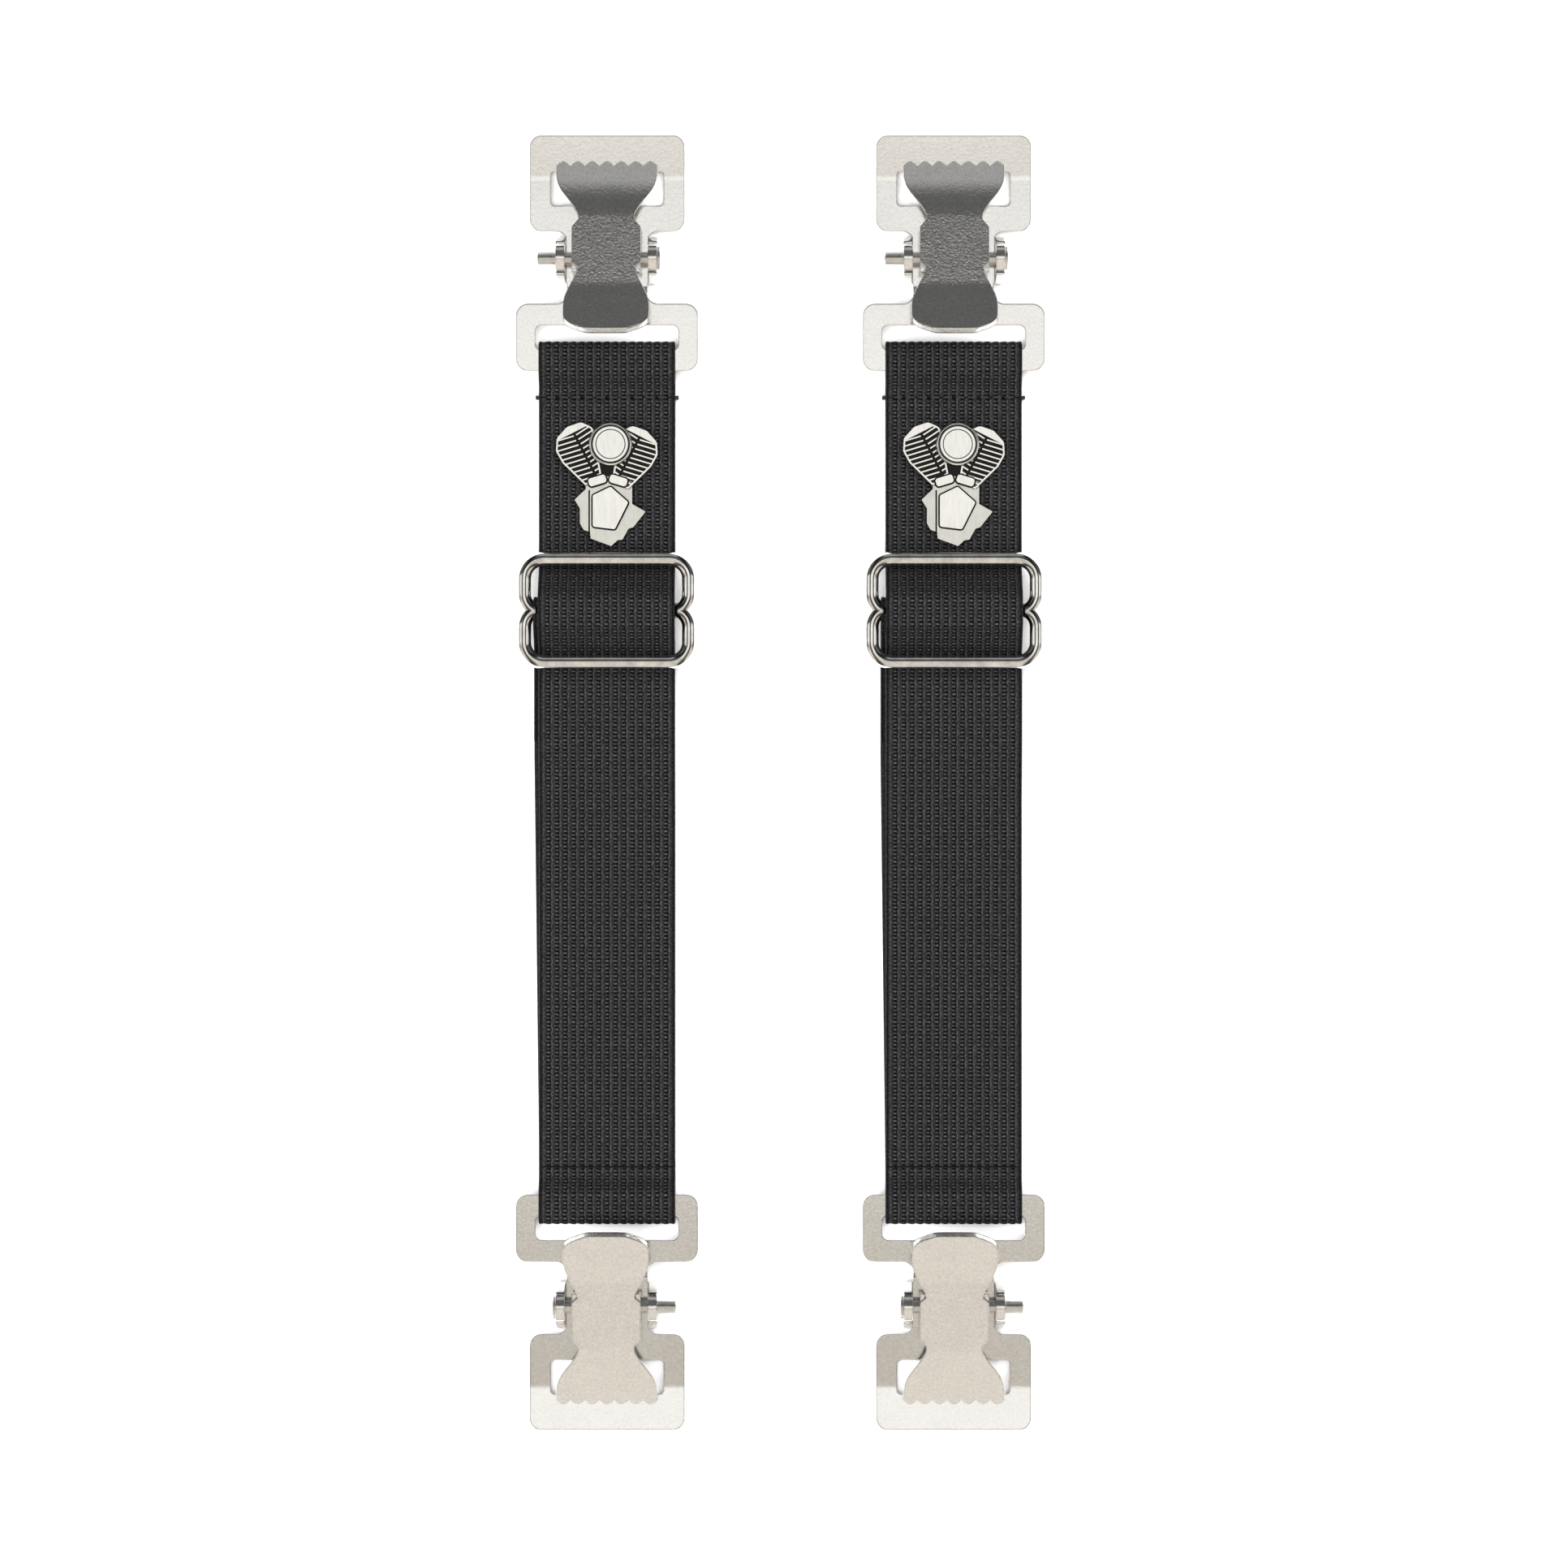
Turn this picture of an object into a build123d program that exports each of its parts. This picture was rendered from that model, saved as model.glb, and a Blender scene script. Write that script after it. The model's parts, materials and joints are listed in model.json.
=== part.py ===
from build123d import *
import os

# A pair of adjustable clip straps, lying flat side by side. Millimetres, +Z up.
# X runs across the straps, Y along them, with the badges towards +Y.
# The origin is on the surface they lie on, midway between them.

# ---- driving dimensions ----
STRAP_SPACING = 64.5  # centre to centre
HALF_LENGTH = 120.5  # from the middle to the front edge of a clip

# webbing
WEB_WIDTH = 25.4
WEB_THICK = 1.0
LAYER_GAP = 0.1  # between layers of the same webbing
RUN_GAP = 0.3  # between the three runs the webbing is divided into
BAR_CLEARANCE = 0.25  # between the adjuster's centre bar and the webbing round it
FOLD_CLEARANCE = 0.02
FOLD_Y = 82.3  # outside of the fold round a clip's bar
TOP_TAIL_Y = 64.1
TOP_STITCH_Y = 71.7
SLIDE_TAIL_Y = 7.9
SLIDE_STITCH_Y = 13.0
UPPER_CUT_Y = 41.6  # under the adjuster's top bar
LOWER_CUT_Y = 5.0  # just past the sewn tail
OVER_FOLD_Y = (76.2, 73.6)  # where the front layer drops off a clip's bar
BEND = 2.0  # inner radius of the webbing's easy bends
SHARP_BEND = 1.2
# corners of the layers passing the adjuster, along Y from its middle
HUMP_FOOT = (8.55, -7.75)
HUMP_TOP = (2.65, -2.55)
OVER_STITCHES = (-11.35, -13.15)
LOOP_RISE = (-5.95, -2.15)
LOOP_FALL = (-2.75, -7.35)
OVER_TAIL_Y = 8.4

# stitching
THREAD = 0.35
STITCH_LENGTH = 1.6
STITCH_PITCH = 2.3
STITCH_COUNT = 10
NUB_WIDTH = 0.6

# clip base plate: front frame, neck with two ears, strap frame
PLATE = 1.2
STEP_UP = 1.4  # the strap frame is joggled up for the webbing to pass beneath
JOGGLE_Y = (90.0, 92.0)
LIP_RISE = 0.65  # the front edge turns up a little
LIP_START_Y = 112.6
INNER_CORNER = 2.0
FRONT_WIDTH = 28.8
FRONT_REAR_Y = 102.7
WINDOW_WIDTH = 21.0
WINDOW_REAR_Y = 107.5
WINDOW_FRONT_Y = 113.8
NECK_WIDTH = 15.0
EAR_GAP = 15.4
EAR_THICK = 1.7
EAR_LENGTH = 8.7
EAR_CROWN = 3.3
EAR_BEND = 0.9
STRAP_FRAME_WIDTH = 33.8
STRAP_FRAME_FRONT_Y = 89.1
STRAP_FRAME_REAR_Y = 76.6
SLOT_WIDTH = 26.6
SLOT_FRONT_Y = 85.1
SLOT_REAR_Y = 80.5
CORNER = 2.2

# clip pivot
PIN_Y = 97.3
PIN_Z = 4.2
PIN_RADIUS = 1.2
PIN_RUNNING_FIT = 0.05
PIN_HEAD_RADIUS = 2.2
PIN_HEAD_THICK = 0.6
PIN_SHANK_OUT = 3.6

# clip lever
SHEET = 1.0
JAW_TIP_Y = 115.6
JAW_GAP = 0.35
TOOTH_COUNT = 7
TOOTH_PITCH = 2.7
TOOTH_HEIGHT = 0.9
WAIST_WIDTH = 10.4
WAIST_Y = 104.4
BODY_WIDTH = 12.8
NOTCH_WIDTH = 10.6
NOTCH_Y = 95.3
NOTCH_DROP = 0.9  # the slope from the body into a notch
TAB_WIDTH = 15.9
TAB_END_Y = 82.6
TAB_SIDE_Y = 86.6
TAB_FULL_Y = 87.8
TAB_EDGE_SLANT = 1.0  # how far the tab's end leans back, per millimetre of height
FLANGE_FRONT_Y = 103.0
FLANGE_REAR_Y = 94.6
JAW_BEND_Y = 108.6
TAB_BEND_Y = 91.2
BODY_TOP = 2.9  # of the sheet's middle above the pin
TAB_TOP = 6.6

# clip spring
SPRING_WIRE = 0.7
SPRING_CLEARANCE = 0.2
SPRING_TURNS = 5.5  # the half turn brings the far leg out over the pin
SPRING_PITCH = 1.0
SPRING_LEG = 5.0

# adjuster
ADJUSTER_Y = 31.95
ADJUSTER_WIDTH = 33.2
ADJUSTER_HEIGHT = 21.8
WIRE = 2.6
BAR_GAP = 0.3
LOBE_CORNER = 3.7
LOBE_TURN = 3.4
LOBE_TURN_Y = 1.0  # height where the turn's two straight lines would meet
CUSP_INSET = 1.9
CUSP_CLEARANCE = 0.05  # the webbing's edges are pressed in where they pass the cusps
CENTRE_BAR_WIDTH = 3.0
CENTRE_BAR_THICK = 1.2

# badge
BADGE_Y = 55.4
RECESS_TOP = 0.6  # heights above the badge's back
CASE_TOP = 1.05
FIN_TOP = 1.35
COVER_TOP = 1.5
BLOCK_TOP = 1.7
DISC_TOP = 2.0
CYLINDER = (
    (-0.9, 1.2), (-4.0, -0.1), (-8.2, 4.0), (-9.45, 6.2),
    (-9.3, 8.6), (-7.4, 10.7), (-4.8, 11.6), (-2.6, 10.6),
)
CYLINDER_CORNER = 1.2
CYLINDER_DROP = 0.7  # the right cylinder stands a little lower
CAP_ANGLE = 27
CAP_FOOT = Vector(-8.9, 8.3)
RIM = 0.3
FIN_COUNT = 10
FIN_THICK = 0.26
FIN_FIRST = Vector(-5.9, 9.1)
FIN_LAST = Vector(-2.0, 1.6)
FIN_GAP = 0.25
OUTER_FIN_ANGLE = 17
INNER_FIN_ANGLE = 33
VALLEY = ((-3.4, 0.2), (4.0, 0.2), (2.4, 5.5), (-1.2, 5.5))
CASES = (
    (-3.9, 0.4), (-3.9, -0.8), (-6.0, -2.8), (-5.0, -4.4), (-5.0, -7.2), (-4.3, -8.4), (-3.1, -8.8),
    (-3.0, -10.0), (0.8, -11.4), (2.0, -10.3), (2.9, -10.2), (4.0, -8.2), (4.9, -7.9), (7.2, -5.0),
    (4.7, -3.6), (4.7, 0.6), (0.0, 1.6),
)
COVER = ((-2.6, -2.0), (0.7, -0.4), (4.0, -3.3), (1.5, -8.3), (-2.6, -7.8))
GROOVE = 0.3
CASE_SEAM_X = -3.43
BLOCK_WIDTH = 3.3
BLOCK_DEPTH = 1.5
DISC_X = 0.7
DISC_Y = 7.5
DISC_RADIUS = 4.0
POST_RADIUS = 0.6
POST_SPACING = 11.0
CLUTCH_RADIUS = 2.8
CLUTCH_THICK = 0.9

# ---- worked out ----
LAYER = WEB_THICK + LAYER_GAP
LOW = WEB_THICK / 2  # centre height of a layer on the surface
MID = LOW + LAYER
HIGH = MID + LAYER
WIRE_Z = HIGH + WEB_THICK / 2 + BAR_GAP + WIRE / 2
BAR_TOP_Z = WIRE_Z
CUSP_X = (ADJUSTER_WIDTH - WIRE) / 2 - CUSP_INSET
BAR_MIDDLE_Z = BAR_TOP_Z - CENTRE_BAR_THICK / 2
WRAP = BAR_CLEARANCE + WEB_THICK / 2
STRAP_BAR_MIDDLE_Z = STEP_UP + PLATE / 2
FOLD_RISE = STRAP_BAR_MIDDLE_Z - LOW
OVER_BAR_Z = STRAP_BAR_MIDDLE_Z + FOLD_RISE
BADGE_Z = MID + WEB_THICK / 2 + 0.05
STITCH_LIFT = THREAD + 0.1
JAW_WIDTH = TOOTH_COUNT * TOOTH_PITCH
UPRIGHT = (Align.CENTER, Align.CENTER, Align.MIN)


def box(x0, x1, y0, y1, z0, z1):
    """A box between two corners."""
    return Pos((x0 + x1) / 2, (y0 + y1) / 2, (z0 + z1) / 2) * Box(x1 - x0, y1 - y0, z1 - z0)


def across(profile, width):
    """Extrude a (y, z) outline across X, centred on the strap."""
    face = Plane.YZ * profile
    return extrude(face, amount=width / 2, both=True)


def raise_up(outline, height):
    """Extrude an outline upwards from where it lies."""
    return extrude(outline, amount=height, dir=(0, 0, 1))


def plate_along(points, radii, thickness, width):
    """A bent strip: a rectangle carried along a (y, z) centre line with rounded bends."""
    line = Plane.YZ * FilletPolyline(*points, radius=radii, close=False)
    section = Plane(origin=line @ 0, x_dir=(1, 0, 0), z_dir=line % 0) * Rectangle(width, thickness)
    return sweep(section, line)


# ---- webbing ----
def fold_points(side):
    """The U-turn round a clip's bar, from the layer above the bar to the one on the surface."""
    outer = side * (FOLD_Y - WEB_THICK / 2)
    return [(outer, OVER_BAR_Z), (outer, LOW)]


def post_places():
    """Where the badge's two posts pass through the webbing, along Y."""
    return BADGE_Y - POST_SPACING / 2, BADGE_Y + POST_SPACING / 2


def webbing_upper_run():
    """From the sewn tail, round the top clip's bar and down behind the badge."""
    turn = FOLD_RISE - FOLD_CLEARANCE
    leave, land = OVER_FOLD_Y
    points = [(TOP_TAIL_Y, LOW), *reversed(fold_points(1))]
    points += [(leave, OVER_BAR_Z), (land, MID), (UPPER_CUT_Y + RUN_GAP, MID)]
    run = plate_along(points, [turn, turn, BEND, BEND], WEB_THICK, WEB_WIDTH)
    for y in post_places():
        run -= Pos(0, y, BADGE_Z) * Cylinder(POST_RADIUS + 0.05, 4 * WEB_THICK)
    return run


def webbing_slide_loop():
    """Under the adjuster's bars and over the middle, and the return layer looped on its centre bar."""
    hump_z = BAR_TOP_Z + BAR_CLEARANCE + LAYER + WEB_THICK / 2
    lifted_z = HIGH + STITCH_LIFT
    front = [
        (UPPER_CUT_Y, MID),
        (ADJUSTER_Y + HUMP_FOOT[0], MID),
        (ADJUSTER_Y + HUMP_TOP[0], hump_z),
        (ADJUSTER_Y + HUMP_TOP[1], hump_z),
        (ADJUSTER_Y + HUMP_FOOT[1], HIGH),
        (ADJUSTER_Y + OVER_STITCHES[0], HIGH),
        (ADJUSTER_Y + OVER_STITCHES[1], lifted_z),
        (OVER_TAIL_Y, lifted_z),
        (LOWER_CUT_Y + RUN_GAP, HIGH - 0.6),
    ]
    bends = [SHARP_BEND, BEND, BEND, SHARP_BEND, SHARP_BEND, SHARP_BEND, 1.0]
    front_layer = plate_along(front, bends, WEB_THICK, WEB_WIDTH)
    reach = ADJUSTER_Y + CENTRE_BAR_WIDTH / 2 + WRAP
    wrap_low = BAR_TOP_Z - CENTRE_BAR_THICK - WRAP
    wrap_high = BAR_TOP_Z + WRAP
    loop = [
        (LOWER_CUT_Y + RUN_GAP, LOW),
        (ADJUSTER_Y + LOOP_RISE[0], LOW),
        (ADJUSTER_Y + LOOP_RISE[1], wrap_low),
        (reach, wrap_low),
        (reach, wrap_high),
        (ADJUSTER_Y + LOOP_FALL[0], wrap_high),
        (ADJUSTER_Y + LOOP_FALL[1], MID),
        (SLIDE_TAIL_Y, MID),
    ]
    turn = (wrap_high - wrap_low) / 2 - FOLD_CLEARANCE
    bends = [SHARP_BEND, SHARP_BEND, turn, turn, SHARP_BEND, SHARP_BEND]
    loop_layer = plate_along(loop, bends, WEB_THICK, WEB_WIDTH)
    for x in (-CUSP_X, CUSP_X):
        loop_layer -= Pos(x, ADJUSTER_Y, WIRE_Z) * Sphere(WIRE / 2 + CUSP_CLEARANCE)
    return front_layer, loop_layer


def webbing_bottom_run():
    """Both layers from the adjuster to the bottom clip, and the fold round its bar."""
    turn = FOLD_RISE - FOLD_CLEARANCE
    leave, land = OVER_FOLD_Y
    points = [(LOWER_CUT_Y, MID + 0.5), (LOWER_CUT_Y / 2, MID), (-land, MID), (-leave, OVER_BAR_Z)]
    points += [*fold_points(-1), (LOWER_CUT_Y, LOW)]
    return plate_along(points, [1.5, BEND, BEND, turn, turn], WEB_THICK, WEB_WIDTH)


def stitching(y, z):
    """A row of stitches lying on a layer whose top is at z."""
    first = -(STITCH_COUNT - 1) * STITCH_PITCH / 2
    stitches = []
    for index in range(STITCH_COUNT):
        x = first + index * STITCH_PITCH
        half = STITCH_LENGTH / 2
        body = box(x - half, x + half, y - THREAD / 2, y + THREAD / 2, z, z + THREAD * 0.8)
        stitches.append(fillet(body.edges().filter_by(Axis.Z), THREAD * 0.45))
    return stitches


def edge_nubs(y, top):
    """The thread passing round both edges of two sewn layers."""
    edge = WEB_WIDTH / 2 + 0.02
    nubs = []
    for side in (-1, 1):
        x0, x1 = sorted((side * edge, side * (edge + NUB_WIDTH)))
        body = box(x0, x1, y - THREAD, y + THREAD, 0.2, top - 0.2)
        nubs.append(fillet(body.edges().filter_by(Axis.Z), THREAD * 0.5))
    return nubs


# ---- clip ----
def base_plate():
    """One stamping: front frame, neck with two ears, and the raised strap frame."""
    low = PLATE / 2
    side = [
        (STRAP_FRAME_REAR_Y, low + STEP_UP),
        (JOGGLE_Y[0], low + STEP_UP),
        (JOGGLE_Y[1], low),
        (LIP_START_Y, low),
        (HALF_LENGTH, low + LIP_RISE),
    ]
    strip = plate_along(side, [1.2, 1.2, 12.0], PLATE, STRAP_FRAME_WIDTH + 2)
    front = Pos(0, (FRONT_REAR_Y + HALF_LENGTH) / 2) * RectangleRounded(
        FRONT_WIDTH, HALF_LENGTH - FRONT_REAR_Y, CORNER
    )
    strap_frame = Pos(0, (STRAP_FRAME_REAR_Y + STRAP_FRAME_FRONT_Y) / 2) * RectangleRounded(
        STRAP_FRAME_WIDTH, STRAP_FRAME_FRONT_Y - STRAP_FRAME_REAR_Y, CORNER
    )
    neck_start, neck_end = STRAP_FRAME_FRONT_Y - 1, FRONT_REAR_Y + 1
    neck = Pos(0, (neck_start + neck_end) / 2) * Rectangle(NECK_WIDTH, neck_end - neck_start)
    outline = front + neck + strap_frame
    inner_corners = [
        v
        for v in outline.vertices()
        if abs(abs(v.X) - NECK_WIDTH / 2) < 0.01 and STRAP_FRAME_REAR_Y < v.Y < HALF_LENGTH
    ]
    outline = fillet(inner_corners, INNER_CORNER)
    ear_feet = Pos(0, PIN_Y) * Rectangle(EAR_GAP + 2 * EAR_THICK, EAR_LENGTH)
    window = Pos(0, (WINDOW_REAR_Y + WINDOW_FRONT_Y) / 2) * RectangleRounded(
        WINDOW_WIDTH, WINDOW_FRONT_Y - WINDOW_REAR_Y, 0.8
    )
    slot = Pos(0, (SLOT_REAR_Y + SLOT_FRONT_Y) / 2) * RectangleRounded(
        SLOT_WIDTH, SLOT_FRONT_Y - SLOT_REAR_Y, 1.2
    )
    outline = outline + ear_feet - window - slot
    plate = strip & raise_up(outline, 10)
    ear_outline = make_hull(
        [
            *Rectangle(EAR_LENGTH, 2 * PLATE).edges(),
            *(Pos(0, PIN_Z) * Circle(EAR_CROWN)).edges(),
        ]
    )
    above_table = Pos(0, 10) * Rectangle(EAR_LENGTH + 2, 20)
    ear = Pos(0, PIN_Y, 0) * across(ear_outline & above_table, EAR_GAP + 2 * EAR_THICK)
    ear -= box(-EAR_GAP / 2, EAR_GAP / 2, 80, 110, PLATE, 20)
    plate += ear
    bends = [
        e
        for e in plate.edges().filter_by(Axis.Y)
        if abs(abs(e.center().X) - EAR_GAP / 2 - EAR_THICK) < 0.01 and e.center().Z < 0.1
    ]
    plate = fillet(bends, EAR_BEND)
    return plate - pivot_bore(PIN_RADIUS)


def pivot_bore(radius):
    """A cylinder along the pivot's axis, longer than the clip is wide."""
    return Pos(0, PIN_Y, PIN_Z) * Rot(0, 90, 0) * Cylinder(radius, 40)


def tab_end():
    """Half of the thumb tab's round end, from its side to the middle."""
    half = TAB_WIDTH / 2
    return Spline(
        (half, TAB_SIDE_Y),
        (half - 0.9, TAB_SIDE_Y - 2.3),
        (half - 3.3, TAB_END_Y + 0.45),
        (0, TAB_END_Y),
        tangents=((0, -1), (-1, 0)),
    )


def lever_outline():
    """The lever seen from above: toothed jaw, waist, body, notches and thumb tab."""
    half = JAW_WIDTH / 2
    waist = WAIST_WIDTH / 2
    body = BODY_WIDTH / 2
    notch = NOTCH_WIDTH / 2
    tab = TAB_WIDTH / 2
    jaw_root = JAW_TIP_Y - TOOTH_HEIGHT
    right = Line((0, jaw_root), (half, jaw_root))
    right += Spline(
        (half, jaw_root),
        (half - 0.35, 111.4),
        (half - 1.6, 109.1),
        (waist + 1.0, 107.0),
        (waist + 0.1, 105.4),
        (waist, WAIST_Y),
        tangents=((0, -1), (0, -1)),
    )
    right += Polyline(
        (waist, WAIST_Y), (body, FLANGE_FRONT_Y), (body, NOTCH_Y + NOTCH_DROP), (notch, NOTCH_Y)
    )
    right += Spline(
        (notch, NOTCH_Y),
        (notch + 0.5, 93.8),
        (tab - 0.7, 91.0),
        (tab, TAB_FULL_Y),
        tangents=((0.05, -1), (0, -1)),
    )
    right += Line((tab, TAB_FULL_Y), (tab, TAB_END_Y - 2))
    right += Line((tab, TAB_END_Y - 2), (0, TAB_END_Y - 2))
    left = mirror(right, Plane.YZ)
    face = make_face([*right.edges(), *left.edges()])
    first = -(TOOTH_COUNT - 1) * TOOTH_PITCH / 2
    for index in range(TOOTH_COUNT):
        centre = first + index * TOOTH_PITCH
        wave = Spline(
            (centre - TOOTH_PITCH / 2, jaw_root),
            (centre, JAW_TIP_Y),
            (centre + TOOTH_PITCH / 2, jaw_root),
            tangents=((1, 0.9), (1, -0.9)),
        )
        base = Line(wave @ 1, wave @ 0)
        face += make_face([wave, base])
    return face


def tab_keep(z):
    """What the thumb tab's slanted end leaves: everything in front of it, leaning back from height z."""
    end = tab_end()
    tab = TAB_WIDTH / 2
    wide = JAW_WIDTH
    sides = Polyline((tab, TAB_SIDE_Y), (tab, 100), (wide, 100), (wide, 130), (0, 130))
    left = mirror(end + sides, Plane.YZ)
    keep = make_face([*end.edges(), *sides.edges(), *left.edges()])
    slant = Vector(0, TAB_EDGE_SLANT, 1)
    return Pos(0, 0, z) * (
        extrude(keep, amount=20, dir=slant) + extrude(keep, amount=20, dir=-slant)
    )


def lever():
    """Stamped sheet: the jaw bent down to the front bar, flanges on the pin, the tab raised."""
    tip_z = PLATE + JAW_GAP + SHEET / 2
    body_z = PIN_Z + BODY_TOP
    tab_z = PIN_Z + TAB_TOP
    side = [
        (JAW_TIP_Y + 0.4, tip_z),
        (JAW_BEND_Y, body_z - 1.1),
        (TAB_BEND_Y, body_z + 0.6),
        (TAB_END_Y - 2, tab_z),
    ]
    strip = plate_along(side, [20.0, 16.0], SHEET, JAW_WIDTH + 4)
    top = strip & (Pos(0, 0, -2) * raise_up(lever_outline(), 20)) & tab_keep(tab_z - 1.6)
    flange_outline = make_hull(
        [
            *(Pos(PIN_Y, PIN_Z) * Circle(PIN_RADIUS + 1.1)).edges(),
            *(Pos(FLANGE_FRONT_Y - 1.0, PIN_Z + 0.2) * Circle(1.0)).edges(),
            *(Pos(FLANGE_REAR_Y + 0.9, PIN_Z + 0.4) * Circle(0.9)).edges(),
            *(Pos(PIN_Y + 1, PIN_Z + 2.3) * Rectangle(9.5, 0.8)).edges(),
        ]
    )
    flange_top = body_z - SHEET / 4
    roof = Polygon(
        (FLANGE_REAR_Y, 0),
        (FLANGE_FRONT_Y, 0),
        (FLANGE_FRONT_Y, flange_top - 0.55),
        (FLANGE_REAR_Y, flange_top + 0.25),
        align=None,
    )
    flanges = across(flange_outline & roof, BODY_WIDTH)
    inner = BODY_WIDTH / 2 - SHEET
    flanges -= box(-inner, inner, 80, 120, -1, 20)
    body = top + flanges
    return body - pivot_bore(PIN_RADIUS + PIN_RUNNING_FIT)


def pivot_pin():
    """A headed pin, riveted into the ears, with its shank left long on the other side."""
    outer = EAR_GAP / 2 + EAR_THICK
    shank_start = -outer - PIN_SHANK_OUT
    length = outer + 0.02 - shank_start
    shank = Pos(shank_start + length / 2, PIN_Y, PIN_Z) * Rot(0, 90, 0) * Cylinder(PIN_RADIUS, length)
    shank = chamfer(shank.edges().sort_by(Axis.X)[0], 0.25)
    head_x = outer + 0.02 + PIN_HEAD_THICK / 2
    head = Pos(head_x, PIN_Y, PIN_Z) * Rot(0, 90, 0) * Cylinder(PIN_HEAD_RADIUS, PIN_HEAD_THICK)
    head = fillet(head.edges().sort_by(Axis.X)[-1], 0.3)
    return shank + head


def torsion_spring():
    """A coil round the pin, one leg along the base plate and one up under the thumb tab."""
    radius = PIN_RADIUS + SPRING_CLEARANCE + SPRING_WIRE / 2
    length = SPRING_TURNS * SPRING_PITCH
    helix = Helix(pitch=SPRING_PITCH, height=length, radius=radius)
    coil = Rot(0, 90, 0) * Pos(0, 0, -length / 2) * sweep((helix ^ 0) * Circle(SPRING_WIRE / 2), helix)
    lower_start = Vector(-length / 2, SPRING_WIRE / 7, -radius)
    lower_end = Vector(-length / 2, -SPRING_LEG, -(PIN_Z - PLATE - SPRING_WIRE / 2 - 0.1))
    upper_start = Vector(length / 2, SPRING_WIRE / 7, radius)
    upper_end = Vector(length / 2, -SPRING_LEG - 2, radius + 0.9)
    legs = round_wire(lower_start, lower_end) + round_wire(upper_start, upper_end)
    return Pos(0, PIN_Y, PIN_Z) * (coil + legs)


def round_wire(start, end):
    """A straight round wire between two points, with round ends."""
    line = Line(start, end)
    wire = sweep((line ^ 0) * Circle(SPRING_WIRE / 2), line)
    for point in (start, end):
        wire += Pos(point) * Sphere(SPRING_WIRE / 2)
    return wire


# ---- adjuster ----
def adjuster_lobes(upper):
    """Half of the wire frame: one long bar and the lobe at each end, down to the cusps."""
    reach = ADJUSTER_WIDTH / 2 - WIRE / 2
    top = ADJUSTER_HEIGHT / 2 - WIRE / 2
    points = [
        (CUSP_X, 0),
        (reach, LOBE_TURN_Y),
        (reach, top),
        (-reach, top),
        (-reach, LOBE_TURN_Y),
        (-CUSP_X, 0),
    ]
    path = FilletPolyline(*points, radius=[LOBE_TURN, LOBE_CORNER, LOBE_CORNER, LOBE_TURN], close=False)
    half = sweep((path ^ 0) * Circle(WIRE / 2), path)
    for side in (-1, 1):
        half += Pos(side * CUSP_X, 0, 0) * Sphere(WIRE / 2)
    return half if upper else mirror(half, Plane.XZ)


def adjuster_frame():
    """The whole bent wire frame."""
    return Pos(0, ADJUSTER_Y, WIRE_Z) * (adjuster_lobes(True) + adjuster_lobes(False))


def adjuster_centre_bar(frame):
    """A flat bar between the cusps, its ends fitted to the wire."""
    bar = Pos(0, ADJUSTER_Y, BAR_MIDDLE_Z) * Box(2 * CUSP_X, CENTRE_BAR_WIDTH, CENTRE_BAR_THICK)
    bar = fillet(bar.edges().filter_by(Axis.X), 0.5)
    trimmed = bar - frame
    return max(trimmed.solids(), key=lambda s: s.volume)


# ---- badge ----
def badge_cylinder():
    """The left cylinder of the V: a rimmed recess with two rows of cooling fins, and its head."""
    outline = Polygon(*CYLINDER, align=None)
    round_corners = [v for v in outline.vertices() if v.Y > CYLINDER[1][1] + 1.5]
    outline = fillet(round_corners, CYLINDER_CORNER)
    inside = offset(outline, amount=-RIM)
    block = raise_up(outline, RECESS_TOP) + raise_up(outline - inside, FIN_TOP)
    above = Rectangle(10, 5, align=(Align.MIN, Align.MIN))
    block += raise_up(Pos(CAP_FOOT) * Rot(0, 0, CAP_ANGLE) * above & inside, FIN_TOP)
    step = (FIN_LAST - FIN_FIRST) / (FIN_COUNT - 1)
    to_left = (Align.MAX, Align.CENTER)
    to_right = (Align.MIN, Align.CENTER)
    for index in range(FIN_COUNT):
        root = FIN_FIRST + step * index
        outer = Rot(0, 0, OUTER_FIN_ANGLE) * Pos(-FIN_GAP) * Rectangle(8, FIN_THICK, align=to_left)
        inner = Rot(0, 0, INNER_FIN_ANGLE) * Pos(FIN_GAP) * Rectangle(5, FIN_THICK, align=to_right)
        for fin in (outer, inner):
            block += raise_up(Pos(root) * fin & inside, FIN_TOP)
    return block


def badge_disc():
    """The round air cleaner: a dished rim, a raised ring and a plain middle."""
    disc = Cylinder(DISC_RADIUS, DISC_TOP, align=UPRIGHT)
    disc = fillet(disc.edges().sort_by(Axis.Z)[-1], 0.3)
    for outer, inner, depth in ((3.65, 3.25, 0.7), (2.8, 2.62, 0.3)):
        ring = Cylinder(outer, depth, align=UPRIGHT) - Cylinder(inner, depth, align=UPRIGHT)
        disc -= Pos(0, 0, DISC_TOP - depth) * ring
    return Pos(DISC_X, DISC_Y, 0) * disc


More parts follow.
